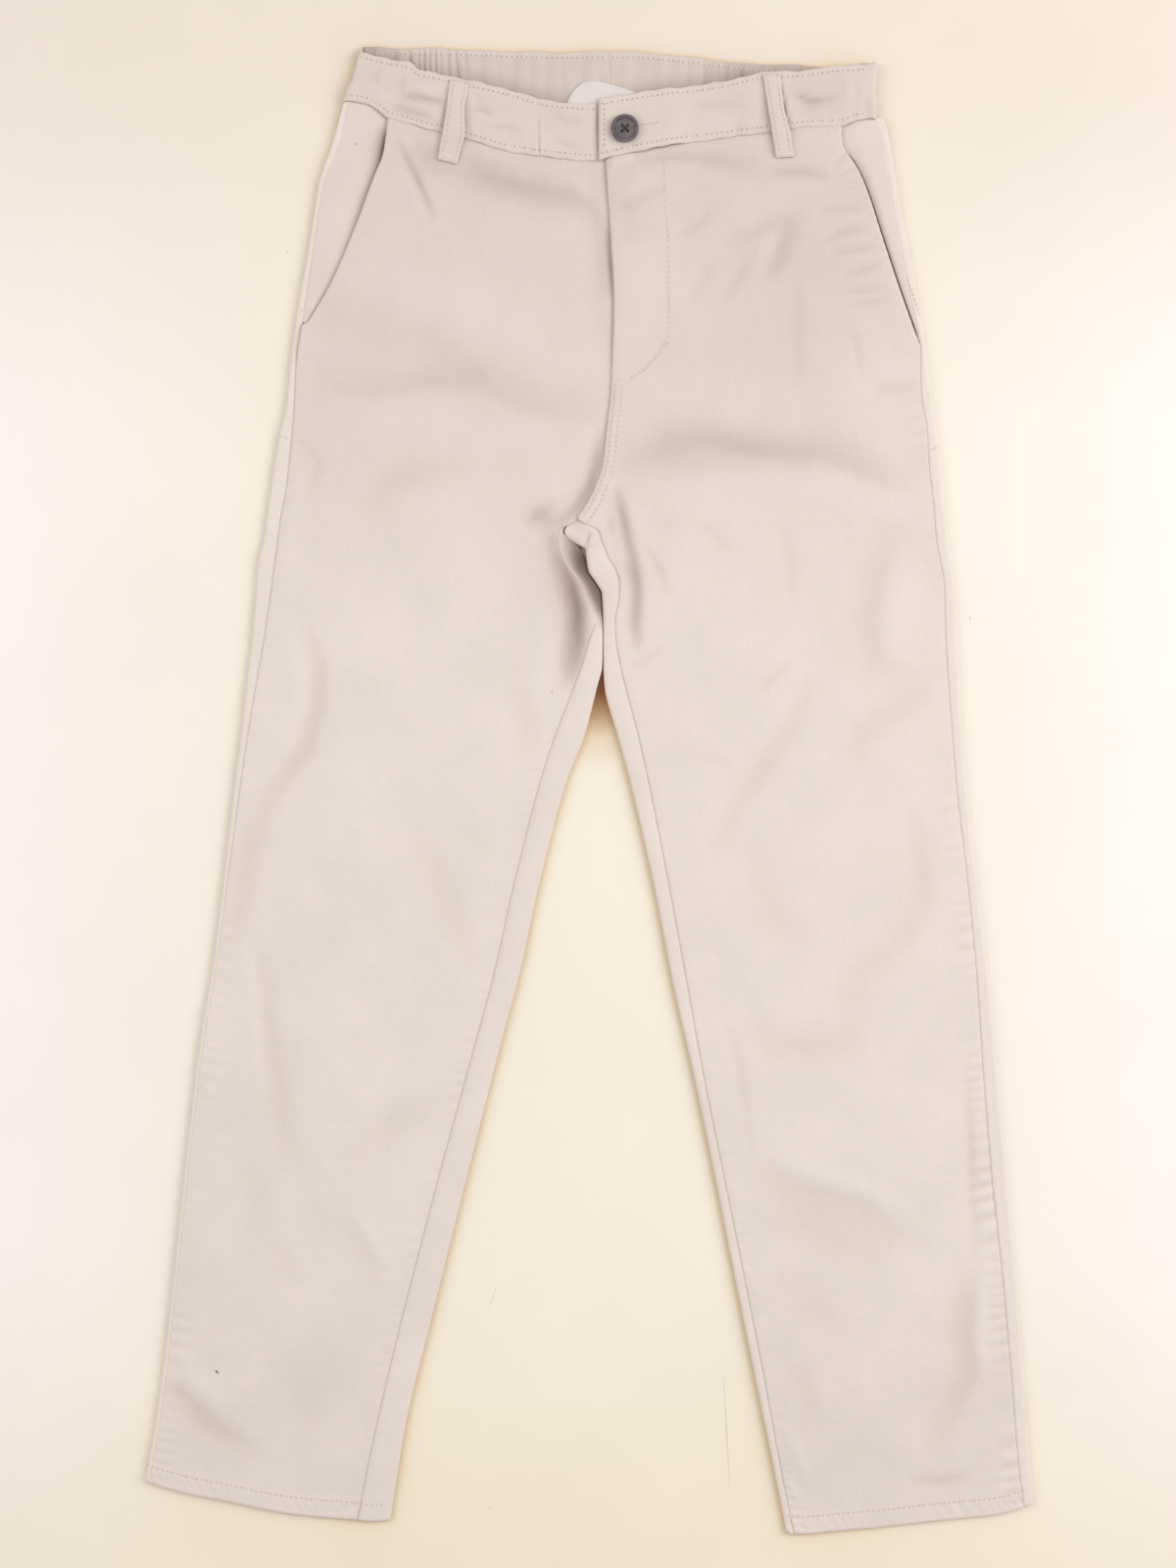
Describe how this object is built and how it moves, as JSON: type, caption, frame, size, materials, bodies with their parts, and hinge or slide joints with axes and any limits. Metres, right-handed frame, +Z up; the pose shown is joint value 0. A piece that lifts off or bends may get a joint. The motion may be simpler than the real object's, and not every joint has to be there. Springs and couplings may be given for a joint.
{
  "type": "chino trousers",
  "caption": "child's straight-leg cotton-twill chino trousers laid flat front up, with a buttoned waistband gathered at the back, belt loops, a closed fly and slant pockets",
  "frame": {"origin": "centre of the footprint on the surface that the trousers lie on", "axes": "+Y runs from the hems to the waist along the garment's length, +Z is up away from the surface on the front's side, and +X is towards the wearer's left, to the right as seen from above"},
  "size_m": [0.5435, 0.9101, 0.0109],
  "materials": {
    "beige_twill": "soft matt cotton twill, pale beige",
    "waistband_twill": "the same twill, doubled and topstitched",
    "zip_tape": "woven tape, matt",
    "button_horn": "dark grey-brown horn-like plastic, satin",
    "label_white": "blank white woven tab, satin"
  },
  "bodies": {
    "root": {"front_right": "beige_twill", "front_left": "beige_twill", "back_right": "beige_twill", "back_left": "beige_twill", "pocket_facing_right": "beige_twill", "pocket_facing_left": "beige_twill", "fly_shield": "beige_twill", "waistband_front_right": "waistband_twill", "waistband_front_left": "waistband_twill", "waistband_back": "waistband_twill", "belt_loop_front_right": "waistband_twill", "belt_loop_front_left": "waistband_twill", "belt_loop_back_centre": "waistband_twill", "belt_loop_back_right": "waistband_twill", "belt_loop_back_left": "waistband_twill", "fly_zip": "zip_tape", "button": "button_horn", "label": "label_white"}
  },
  "joints": []
}
